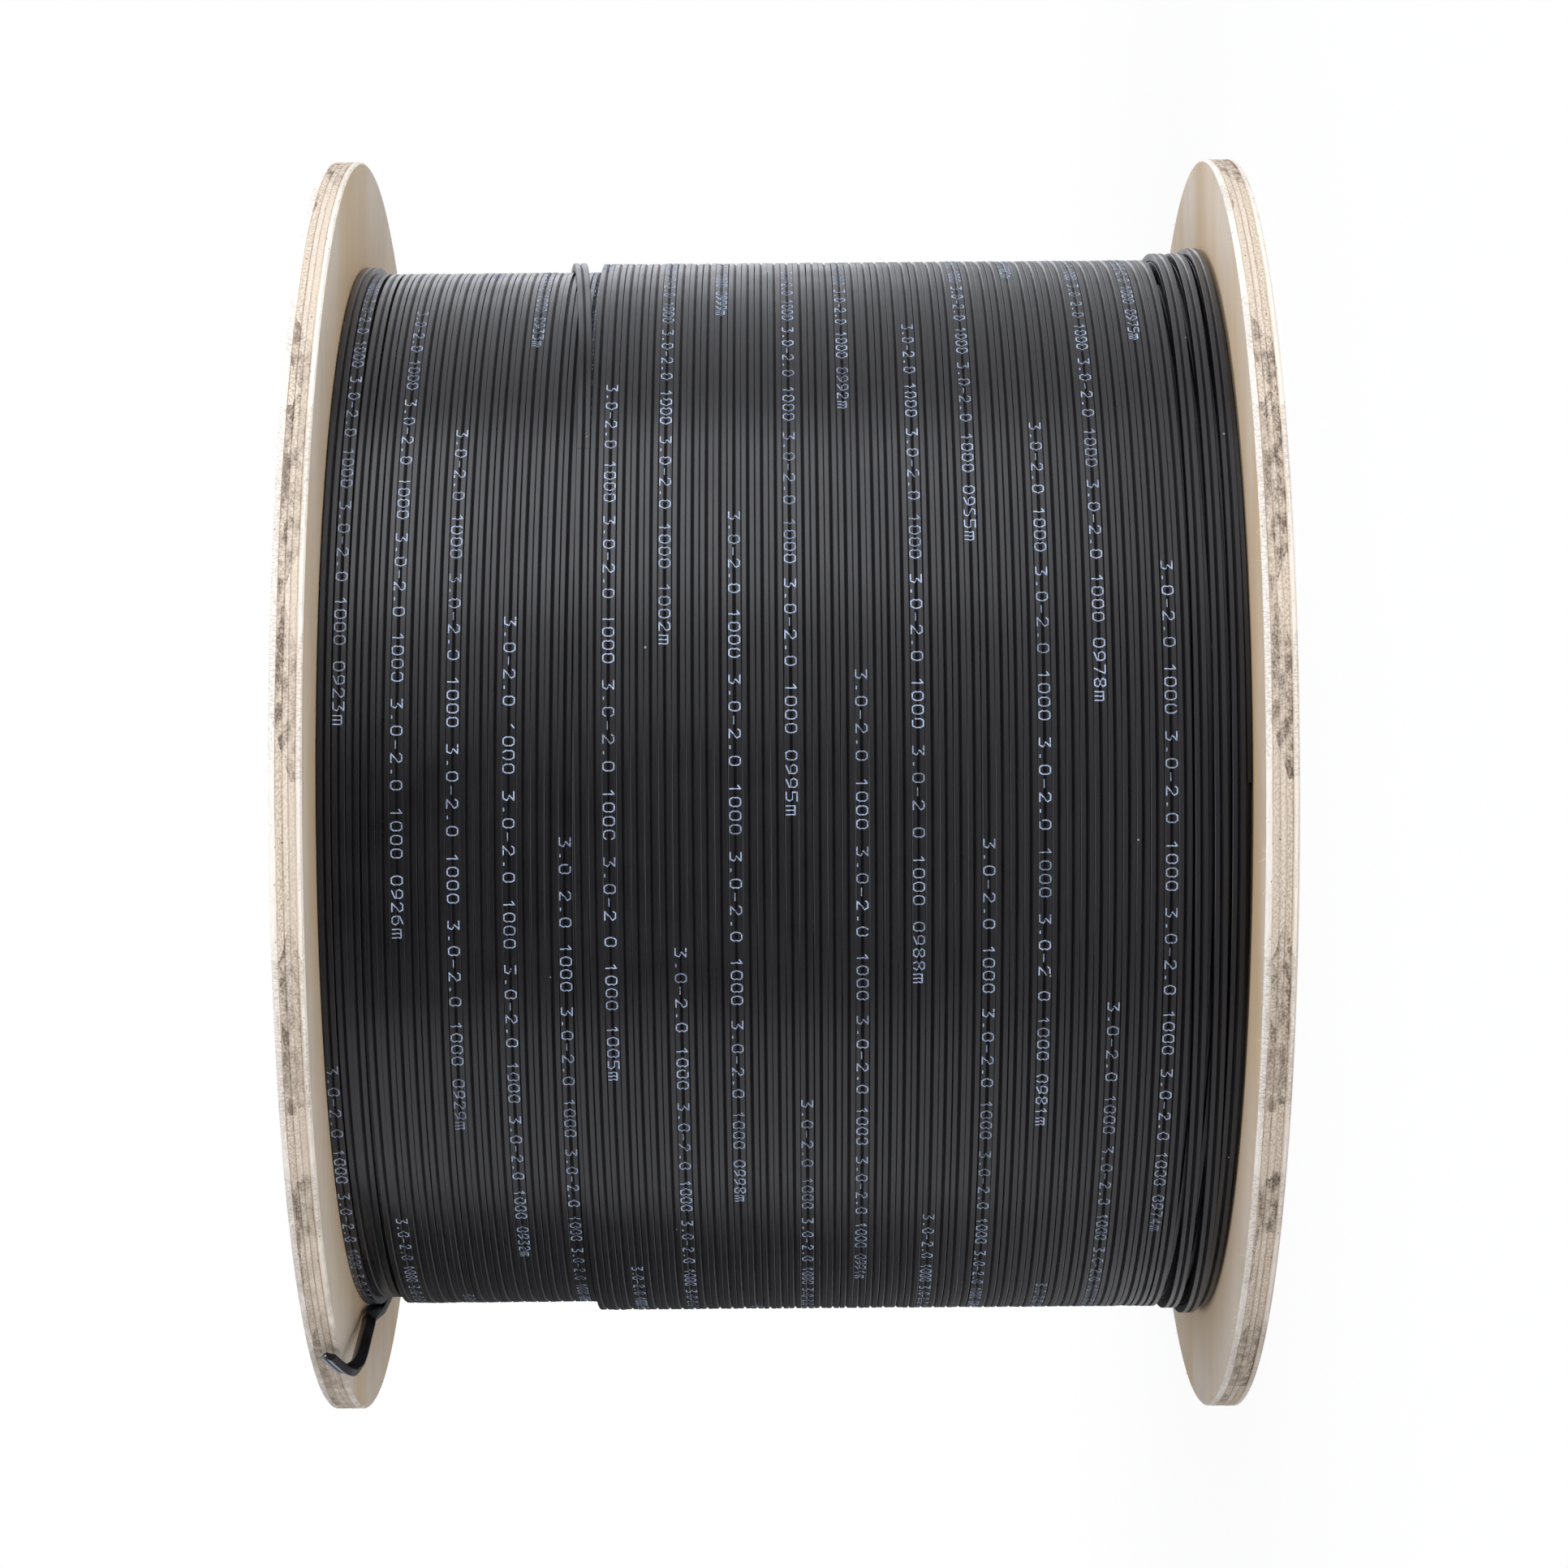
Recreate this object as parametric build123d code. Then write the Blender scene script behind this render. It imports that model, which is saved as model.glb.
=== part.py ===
"""A plywood reel, wound with flat two-lobed drop cable and standing on its lower flange.

Millimetres, +Z up along the reel's axis, origin at the centre of the lower flange's outer face.
The viewer of the cable's free end looks along +Y, so -Y is the front.
"""

import math
import os

from build123d import *

# Plywood flanges
flange_diameter = 300.0
flange_thickness = 7.0
arbor_hole_diameter = 60.0
start_hole_diameter = 12.0
start_hole_gap = 3.0  # from the barrel to the hole that the cable's inner end goes into
start_hole_angle = 20.0

# Cardboard barrel, seated in a groove of each flange
traverse = 200.0  # between the inner faces of the flanges
barrel_diameter = 150.0
barrel_wall = 5.0
groove_depth = 3.0
groove_clearance = 0.15

# Tie bolts, washers and tee nuts
bolt_count = 4
bolt_circle_diameter = 110.0
bolt_diameter = 6.0
bolt_hole_clearance = 0.3
bolt_start_angle = 45.0
bolt_tip = 0.5  # the bolt's end stays this far above the lower flange's outer face
head_width = 10.0
head_height = 4.0
washer_diameter = 18.0
washer_thickness = 1.6
washer_hole_clearance = 0.2
tee_plate_diameter = 19.0
tee_plate_thickness = 1.5
tee_barrel_diameter = 8.0
tee_barrel_length = 5.0
tee_seat_clearance = 0.1
thread_clearance = 0.05

# Flat cable with a notch down the middle of each wide face
cable_width = 3.0
cable_thickness = 2.0
notch_depth = 0.45
notch_width = 0.9
cable_corner = 0.45

# Winding
full_layers = 24
layer_rise = 2.04  # a cable's thickness and the slack of a wound layer
top_layer_rise = 1.95
top_layer_height = 143.0  # how far the unfinished top layer reaches above the lower flange
winding_clearance = 0.3
piled_turn_starts = (1.6, 8.0)  # turns piled on others, above the lower flange
piled_turn_rises = (2.1, 1.3)  # above the top layer
edge_turn_height = 5.0  # the last turns against the upper flange stand proud too
edge_turn_rise = 0.4
edge_turn_gap = 1.4

# The end of the cable: it leaves the top layer, crosses the back and hooks over the upper rim
crossing_start_angle = -54.0
crossing_end_angle = 180.0
crossing_steps = 12
crossing_skew = 1.2
crossing_clearance = 0.2
climb_height = 8.0  # the crossing climbs onto the edge turns over this height
tail_flange_clearance = 0.5
tail_points = [
    (-125.6, -18.0, 204.9),
    (-124.3, -38.0, 203.9),
    (-122.3, -56.0, 202.6),
    (-120.6, -66.5, 201.8),
    (-120.1, -70.2, 201.6),
    (-123.0, -72.8, 201.8),
    (-127.4, -76.2, 202.6),
    (-131.2, -78.8, 204.6),
    (-129.6, -81.0, 207.4),
    (-127.6, -83.4, 208.9),
]
bend_share = 0.45

# Derived places
outer_height = 2 * flange_thickness + traverse
lower_face = flange_thickness
upper_face = flange_thickness + traverse
flange_radius = flange_diameter / 2
barrel_radius = barrel_diameter / 2
barrel_bore_radius = barrel_radius - barrel_wall
winding_bore_radius = barrel_radius + winding_clearance
lower_layer_radius = winding_bore_radius + full_layers * layer_rise
top_layer_radius = lower_layer_radius + top_layer_rise
bolt_radius = bolt_diameter / 2


def ring(outer_radius, inner_radius, height, base):
    """A plain ring that stands on the height base."""
    return Pos(0, 0, base) * (
        Cylinder(outer_radius, height, align=(Align.CENTER, Align.CENTER, Align.MIN))
        - Cylinder(inner_radius, height, align=(Align.CENTER, Align.CENTER, Align.MIN))
    )


def rod(radius, low, high):
    """A plain cylinder from the height low to the height high."""
    return Pos(0, 0, low) * Cylinder(
        radius, high - low, align=(Align.CENTER, Align.CENTER, Align.MIN)
    )


def bolt_places():
    return PolarLocations(bolt_circle_diameter / 2, bolt_count, bolt_start_angle)


def flange(base, hole_radius):
    """A round plywood board with its arbor hole and four holes for the tie bolts or their nuts."""
    board = rod(flange_radius, base, base + flange_thickness)
    board -= rod(arbor_hole_diameter / 2, base, base + flange_thickness)
    for place in bolt_places():
        board -= place * rod(hole_radius, base, base + flange_thickness)
    return board


def barrel_groove(base):
    """The groove that a flange has for the end of the barrel."""
    return ring(
        barrel_radius + groove_clearance,
        barrel_bore_radius - groove_clearance,
        groove_depth,
        base,
    )


def lower_flange():
    board = flange(0, tee_barrel_diameter / 2 + tee_seat_clearance)
    board -= barrel_groove(lower_face - groove_depth)
    seat = rod(tee_plate_diameter / 2 + tee_seat_clearance, 0, tee_plate_thickness)
    for place in bolt_places():
        board -= place * seat
    return board


def upper_flange():
    board = flange(upper_face, bolt_radius + bolt_hole_clearance) - barrel_groove(upper_face)
    start_radius = barrel_radius + start_hole_gap + start_hole_diameter / 2
    start_place = Rot(0, 0, start_hole_angle) * Pos(start_radius, 0, 0)
    return board - start_place * rod(start_hole_diameter / 2, upper_face, outer_height)


def barrel_tube():
    return ring(
        barrel_radius,
        barrel_bore_radius,
        traverse + 2 * groove_depth,
        lower_face - groove_depth,
    )


def tie_bolt():
    """A long hexagon bolt with its head above the upper flange."""
    seat = outer_height + washer_thickness
    head = Pos(0, 0, seat) * extrude(
        RegularPolygon(head_width / 2, 6, major_radius=False), head_height
    )
    crown = Pos(0, 0, seat) * Cone(
        head_width / 2 + head_height,
        head_width / 2 * 0.95,
        head_height,
        align=(Align.CENTER, Align.CENTER, Align.MIN),
    )
    return (head & crown) + rod(bolt_radius, bolt_tip, seat)


def bolt_washer():
    return ring(
        washer_diameter / 2,
        bolt_radius + washer_hole_clearance,
        washer_thickness,
        outer_height,
    )


def tee_nut():
    """A nut with a round plate, set flush into the underside of the lower flange."""
    body = rod(tee_plate_diameter / 2, 0, tee_plate_thickness)
    body += rod(tee_barrel_diameter / 2, 0, tee_barrel_length)
    return body - rod(bolt_radius + thread_clearance, 0, tee_barrel_length)


def winding_outline():
    """The winding's half section, as (radius, height) points from the bore outwards."""
    points = [
        (winding_bore_radius, lower_face),
        (top_layer_radius, lower_face),
    ]
    for start, rise in zip(piled_turn_starts, piled_turn_rises):
        radius = top_layer_radius + rise
        low = lower_face + start
        high = low + cable_width
        points += [
            (top_layer_radius, low),
            (radius, low),
            (radius, high),
            (top_layer_radius, high),
        ]
    layer_end = lower_face + top_layer_height
    edge_start = upper_face - edge_turn_height
    edge_radius = lower_layer_radius + edge_turn_rise
    points += [
        (top_layer_radius, layer_end),
        (lower_layer_radius, layer_end),
        (lower_layer_radius, edge_start - edge_turn_gap),
        (lower_layer_radius - layer_rise, edge_start - edge_turn_gap),
        (lower_layer_radius - layer_rise, edge_start),
        (edge_radius, edge_start),
        (edge_radius, upper_face),
        (winding_bore_radius, upper_face),
    ]
    return points


def cable_coil():
    """The wound cable as one turned solid with its bore."""
    section = Polyline([(r, 0, z) for r, z in winding_outline()], close=True)
    return revolve(make_face(section), Axis.Z)


def crossing_height(angle):
    """How high the crossing cable runs at an angle: it drifts off slowly and settles by the flange."""
    share = (angle - crossing_start_angle) / (crossing_end_angle - crossing_start_angle)
    eased = share**crossing_skew
    start = lower_face + top_layer_height + crossing_clearance + cable_width / 2
    end = upper_face - tail_flange_clearance - cable_width / 2
    return start + (end - start) * eased * eased * (3 - 2 * eased)


def crossing_radius(angle):
    """The crossing lies on the lower layer and climbs onto the edge turns at its end."""
    rest = lower_layer_radius + crossing_clearance + cable_thickness / 2
    climb_start = upper_face - edge_turn_height - edge_turn_gap - climb_height
    share = (crossing_height(angle) - climb_start) / climb_height
    return rest + edge_turn_rise * min(max(share, 0), 1)


def cable_route():
    """The corners of the cable's route, from where it leaves the top layer to its cut end."""
    step = (crossing_end_angle - crossing_start_angle) / crossing_steps
    corner_reach = 1 / math.cos(math.radians(step / 2))
    points = []
    for index in range(crossing_steps + 1):
        angle = crossing_start_angle + index * step
        reach = crossing_radius(angle) * corner_reach
        turn = math.radians(angle)
        points.append(
            (reach * math.cos(turn), reach * math.sin(turn), crossing_height(angle))
        )
    return points + tail_points


def route_line(points):
    """Straight runs joined by arcs that are as large as the runs allow."""
    corners = [Vector(*point) for point in points]
    radii = []
    for before, corner, after in zip(corners, corners[1:], corners[2:]):
        turn = math.radians((corner - before).get_angle(after - corner))
        shorter = min((corner - before).length, (after - corner).length)
        radii.append(bend_share * shorter / math.tan(turn / 2))
    print("bend radii:", [round(radius, 1) for radius in radii])
    return FilletPolyline(*corners, radius=radii)


def cable_section():
    """Half of the outline is mirrored: a rounded bar with a notch in each wide face."""
    half_width = cable_width / 2
    half_thickness = cable_thickness / 2
    quarter = [
        (0, half_thickness - notch_depth),
        (notch_width / 2, half_thickness),
        (half_width - cable_corner, half_thickness),
        (half_width, half_thickness - cable_corner),
    ]
    right = quarter + [(x, -y) for x, y in reversed(quarter)]
    left = [(-x, y) for x, y in reversed(right[1:-1])]
    return right + left


def cable_end():
    """The crossing turn and the free end, one length of cable with its notched section."""
    points = cable_route()
    line = route_line(points)
    start = Vector(*points[0])
    along = (Vector(*points[1]) - start).normalized()
    across = Vector(0, 0, 1)
    outward = along.cross(across).normalized()
    plane = Plane(origin=start, x_dir=outward.cross(along).normalized(), z_dir=along)
    section = plane * make_face(Polyline(cable_section(), close=True))
    guide = Pos(0, 0, traverse) * line  # a copy high above keeps the section level
    tube = sweep(section, path=line, binormal=guide.wire())
    expected = section.area * line.length
    print("cable end length:", round(line.length, 1))
    print("volume over section times length:", round(tube.volume / expected, 4))
    return tube


def write(name, shape):
    shape.label = name
    export_step(shape, f"parts/{name}.step")


os.makedirs("parts", exist_ok=True)
write("lower_flange", lower_flange())
write("upper_flange", upper_flange())
write("barrel_tube", barrel_tube())
write("cable_coil", cable_coil())
write("cable_end", cable_end())
for number, place in enumerate(bolt_places(), start=1):
    write(f"tie_bolt_{number}", place * tie_bolt())
    write(f"bolt_washer_{number}", place * bolt_washer())
    write(f"tee_nut_{number}", place * tee_nut())
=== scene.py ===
"""Looks of the cable reel: plywood boards, the cable turn by turn, its print and its free end."""

import math
import random

import bmesh
import bpy
import numpy as np
from mathutils import Matrix, Vector


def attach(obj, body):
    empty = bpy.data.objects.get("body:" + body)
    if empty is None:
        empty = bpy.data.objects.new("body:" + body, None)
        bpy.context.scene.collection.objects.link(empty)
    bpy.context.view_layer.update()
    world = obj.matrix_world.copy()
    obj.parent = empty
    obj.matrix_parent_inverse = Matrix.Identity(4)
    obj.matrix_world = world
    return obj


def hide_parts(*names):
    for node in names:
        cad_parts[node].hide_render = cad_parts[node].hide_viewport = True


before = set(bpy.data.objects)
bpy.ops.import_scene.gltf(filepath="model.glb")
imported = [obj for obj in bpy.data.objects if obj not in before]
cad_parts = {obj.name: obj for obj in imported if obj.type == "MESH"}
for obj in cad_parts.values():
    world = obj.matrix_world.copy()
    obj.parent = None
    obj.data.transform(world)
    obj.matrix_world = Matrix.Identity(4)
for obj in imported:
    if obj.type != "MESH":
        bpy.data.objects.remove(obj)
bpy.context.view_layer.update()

# Sizes in millimetres. The reel stands on its lower flange, and the photograph's left is up here.
MM = 0.001
FLANGE_RADIUS = 150.0
FLANGE_THICKNESS = 7.0
UPPER_FACE = 207.0  # inner face of the upper flange
MIDDLE_HEIGHT = 107.0
ARBOR_RADIUS = 30.0
BARREL_RADIUS = 75.0
BARREL_WALL = 5.0
GROOVE_DEPTH = 3.0
GROOVE_CLEARANCE = 0.15
BOLT_CIRCLE_RADIUS = 55.0
BOLT_HOLE_RADIUS = 3.3
NUT_HOLE_RADIUS = 4.1
NUT_SEAT_RADIUS = 9.6
NUT_SEAT_DEPTH = 1.5
START_HOLE_RADIUS = 6.0
START_HOLE_PLACE = 84.0
START_HOLE_ANGLE = 20.0

CABLE_WIDTH = 2.96
CABLE_THICKNESS = 2.0
NOTCH_HALF_WIDTH = 0.42
NOTCH_DEPTH = 0.45
WINDING_DRIFT = 0.0042  # how far the winding sits off the flanges' axis, for each millimetre up
TURN_PITCH = 3.0
TOP_LAYER_CENTRE = 125.2  # radius of the cable's centreline in the outermost layer
LOWER_LAYER_CENTRE = 123.25
METRE_MARK_SPACING = 1016.5  # along the cable, between two printed metre numbers
STEPS_PER_TURN = 110

CAMERA_DISTANCE = 1013.0
CAMERA_LENS = 95.6
CAMERA_ROLL = 0.19  # degrees
LAMP_COLOUR = "f6f8ff"
FLOOR_COLOUR = "f4f4f2"


def colour(hex_value):
    """A linear colour from an sRGB hex value such as "8c7a66"."""
    parts = [int(hex_value[i : i + 2], 16) / 255 for i in (0, 2, 4)]
    linear = [c / 12.92 if c <= 0.04045 else ((c + 0.055) / 1.055) ** 2.4 for c in parts]
    return (*linear, 1.0)


def feed(tree, node, inputs):
    """Gives a node its inputs: a socket is linked, and anything else is a value."""
    for key, value in inputs.items():
        if isinstance(value, bpy.types.NodeSocket):
            tree.links.new(value, node.inputs[key])
        else:
            node.inputs[key].default_value = value


def add_node(tree, kind, inputs=None, **settings):
    """Adds a node with its settings and then its inputs."""
    made = tree.nodes.new(kind)
    for name, value in settings.items():
        setattr(made, name, value)
    feed(tree, made, inputs or {})
    return made


def new_object(name, data):
    made = bpy.data.objects.new(name, data)
    bpy.context.scene.collection.objects.link(made)
    return made


def mesh_object(name, verts, edges=(), faces=(), materials=()):
    mesh = bpy.data.meshes.new(name)
    mesh.from_pydata([tuple(vert) for vert in verts], edges, faces)
    for material in materials:
        mesh.materials.append(material)
    return new_object(name, mesh)


def evaluated_mesh(source):
    """A new mesh of an object as its modifiers leave it."""
    evaluated = source.evaluated_get(bpy.context.evaluated_depsgraph_get())
    return bpy.data.meshes.new_from_object(evaluated)


def interpolated(places, known_places, known_rows):
    """Rows of three values, such as points, between the rows that are known."""
    rows = np.array(known_rows, float)
    return np.stack([np.interp(places, known_places, rows[:, i]) for i in range(3)], axis=1)


def ring_points(section, steps, middle=(0.0, 0.0)):
    """A ring of points in metres for each (radius, height) of a section."""
    x, y = middle
    turns = [step / steps * math.tau for step in range(steps)]
    return [
        ((x + radius * math.cos(turn)) * MM, (y + radius * math.sin(turn)) * MM, height * MM)
        for radius, height in section
        for turn in turns
    ]


def ring_faces(rings, steps, capped=False):
    """The quads between each ring and the next. Without caps, the last ring joins the first."""
    faces = []
    for ring in range(rings - capped):
        here, following = ring * steps, (ring + 1) % rings * steps
        for step in range(steps):
            beside = (step + 1) % steps
            faces.append((here + step, here + beside, following + beside, following + step))
    if capped:
        faces += [tuple(reversed(range(steps))), tuple(range((rings - 1) * steps, rings * steps))]
    return faces


# -------- camera


def make_camera():
    """The camera is rolled a quarter turn, because in the photograph the reel lies on its rims."""
    data = bpy.data.cameras.new("camera")
    data.lens = CAMERA_LENS
    data.sensor_width = 36.0
    data.clip_start = 0.05
    data.clip_end = 60.0
    camera = new_object("camera", data)
    roll = math.radians(CAMERA_ROLL)
    right, up, back = Vector((0, 0, -1)), Vector((1, 0, 0)), Vector((0, -1, 0))
    rolled_right = right * math.cos(roll) - up * math.sin(roll)
    rolled_up = up * math.cos(roll) + right * math.sin(roll)
    place = Matrix((rolled_right, rolled_up, back)).transposed().to_4x4()
    place.translation = Vector((0, -CAMERA_DISTANCE * MM, MIDDLE_HEIGHT * MM))
    camera.matrix_world = place
    bpy.context.scene.camera = camera


# -------- nodes that materials share


def new_material(name):
    """A material, its tree, its shader and the object coordinates."""
    made = bpy.data.materials.new(name)
    made.use_nodes = True
    tree = made.node_tree
    place = add_node(tree, "ShaderNodeTexCoord").outputs["Object"]
    return made, tree, tree.nodes["Principled BSDF"], place


def noise(tree, place, scale, detail):
    inputs = {"Vector": place, "Scale": scale, "Detail": detail}
    return add_node(tree, "ShaderNodeTexNoise", inputs).outputs["Fac"]


def stretched(tree, place, scale, shift=0.0):
    inputs = {"Vector": place, "Scale": scale, "Location": (shift, shift, shift)}
    return add_node(tree, "ShaderNodeMapping", inputs).outputs[0]


def ramp(tree, value, low, high, least=0.0, most=1.0):
    """Goes from least to most as a value goes from low to high."""
    inputs = {"Value": value, "From Min": low, "From Max": high, "To Min": least, "To Max": most}
    return add_node(tree, "ShaderNodeMapRange", inputs).outputs[0]


def maths(tree, operation, *values):
    return add_node(tree, "ShaderNodeMath", dict(enumerate(values)), operation=operation).outputs[0]


def blend(tree, share, first, second):
    """A mix of two colours, each a hex value or a socket."""
    tones = [colour(tone) if isinstance(tone, str) else tone for tone in (first, second)]
    inputs = {0: share, 6: tones[0], 7: tones[1]}
    return add_node(tree, "ShaderNodeMix", inputs, data_type="RGBA").outputs[2]


def banded(tree, value, stops):
    """A colour ramp through (position, tone) stops, where a tone is a hex value or a grey level."""
    node = add_node(tree, "ShaderNodeValToRGB", {0: value})
    elements = node.color_ramp.elements
    while len(elements) < len(stops):
        elements.new(0.5)
    for element, (position, tone) in zip(elements, stops):
        element.position = position
        element.color = colour(tone) if isinstance(tone, str) else (tone, tone, tone, 1.0)
    return node.outputs[0]


def bumped(tree, height, strength, distance):
    inputs = {"Height": height, "Strength": strength, "Distance": distance}
    return add_node(tree, "ShaderNodeBump", inputs).outputs[0]


def shader_mix(tree, share, first, second):
    return add_node(tree, "ShaderNodeMixShader", {0: share, 1: first, 2: second}).outputs[0]


def split_axes(tree, place):
    return add_node(tree, "ShaderNodeSeparateXYZ", {0: place}).outputs


def distance_from_origin(tree, place):
    return add_node(tree, "ShaderNodeVectorMath", {0: place}, operation="LENGTH").outputs["Value"]


# -------- materials


def cable_jacket():
    """Black LSZH jacket, extruded: nearly black, satin, with dull patches, specks of dust and a
    painted highlight by the cut end.
    """
    made, tree, shader, place = new_material("extruded black LSZH jacket")
    # dull patches about 12 mm across, from handling
    patches = noise(tree, place, 80.0, 3.0)
    tone = blend(tree, patches, "0e0d10", "161519")
    # dust specks, 0.3 mm across and drawn a little large so that they show
    inputs = {"Vector": place, "Scale": 170.0, "Randomness": 1.0}
    specks = add_node(tree, "ShaderNodeTexVoronoi", inputs).outputs
    chosen = add_node(tree, "ShaderNodeSeparateColor", {"Color": specks["Color"]}).outputs[0]
    near = maths(tree, "LESS_THAN", specks["Distance"], 0.045)
    rare = maths(tree, "GREATER_THAN", chosen, 0.93)
    dusty = blend(tree, maths(tree, "MULTIPLY", near, rare), tone, "8c8a86")
    # the extrusion's fine orange peel, about 0.4 mm
    peel = noise(tree, place, 2400.0, 2.0)
    # painted highlight: the ridges beside the cut end are coloured pale grey-blue in place of a
    # lamp's reflection
    rubbed = add_node(tree, "ShaderNodeAttribute", attribute_name="rubbed").outputs["Fac"]
    looks = {
        "Base Color": blend(tree, rubbed, dusty, "98a1ab"),
        "Roughness": ramp(tree, patches, 0.3, 0.7, 0.27, 0.35),
        "Normal": bumped(tree, peel, 0.12, 0.0001),
        "IOR": 1.46,
    }
    feed(tree, shader, looks)
    return made


def print_ink():
    """Pale blue-grey ink from a dot printer: chalky, thin and uneven."""
    made, tree, shader, place = new_material("pale blue-grey printing ink")
    # the printer's dots, about 0.35 mm, and wear in patches of 15 mm
    dots = noise(tree, place, 2600.0, 1.0)
    worn = noise(tree, place, 60.0, 2.0)
    amount = ramp(tree, maths(tree, "MULTIPLY", dots, worn), 0.1, 0.32)
    ink = blend(tree, amount, "5d6777", "aebdd6")
    feed(tree, shader, {"Base Color": ink, "Roughness": 0.6})
    return made


def plywood_face():
    """Rotary-cut poplar veneer, sanded: pale cream, with long soft grain and short fine pores."""
    made, tree, shader, place = new_material("sanded poplar veneer")
    # the grain runs along X: streaks 60 mm long and 3 mm wide, which wander a little
    long_grain = stretched(tree, place, (16, 330, 330))
    inputs = {"Vector": place, "Scale": 9.0, "Detail": 1.0}
    warp = add_node(tree, "ShaderNodeTexNoise", inputs).outputs["Color"]
    inputs = {0: warp, 1: (1.5, 6.0, 0.0), 2: long_grain}
    bent = add_node(tree, "ShaderNodeVectorMath", inputs, operation="MULTIPLY_ADD").outputs[0]
    grain = noise(tree, bent, 1.0, 5.0)
    base = blend(tree, grain, "e2d1ba", "eee4d5")
    # warmer flames 200 mm long and 40 mm wide
    flame = noise(tree, stretched(tree, place, (5, 26, 26)), 1.0, 2.0)
    toned = blend(tree, ramp(tree, flame, 0.46, 0.68, 0.0, 0.75), base, "d9b988")
    # browner beside the winding: most within 126 mm of the axis, least beyond 144 mm
    axes = split_axes(tree, place)
    level_place = add_node(tree, "ShaderNodeCombineXYZ", {"X": axes["X"], "Y": axes["Y"]})
    reach = distance_from_origin(tree, level_place.outputs[0])
    browner_near_winding = blend(tree, ramp(tree, reach, 0.126, 0.144, 0.6, 0.1), toned, "cfab7c")
    # pores 5 mm long and 0.3 mm wide
    pores = noise(tree, stretched(tree, place, (200, 3300, 3300)), 1.0, 2.0)
    pored = blend(tree, ramp(tree, pores, 0.6, 0.75, 0.0, 0.35), browner_near_winding, "b8a189")
    # grey smudges from handling, about 40 mm across
    dirt = noise(tree, place, 24.0, 6.0)
    looks = {
        "Base Color": blend(tree, ramp(tree, dirt, 0.5, 0.75, 0.0, 0.22), pored, "a08f7c"),
        "Roughness": 0.62,
        "Normal": bumped(tree, grain, 0.25, 0.0002),
    }
    feed(tree, shader, looks)
    return made


# across a flange's rim, from 0 to 1: the five plies with the glue lines between them
PLY_TONES = [
    (0.000, "eee5d9"), (0.190, "ebe1d3"), (0.215, "c9b7a3"), (0.245, "d8cab7"),
    (0.410, "d6c7b3"), (0.435, "bba993"), (0.460, "e0d4c4"), (0.590, "ddcfbd"),
    (0.615, "bdac96"), (0.645, "d8cab7"), (0.810, "dacdbb"), (0.835, "cbbba6"),
    (0.865, "eee5d9"), (1.000, "f1eae0"),
]


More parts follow.
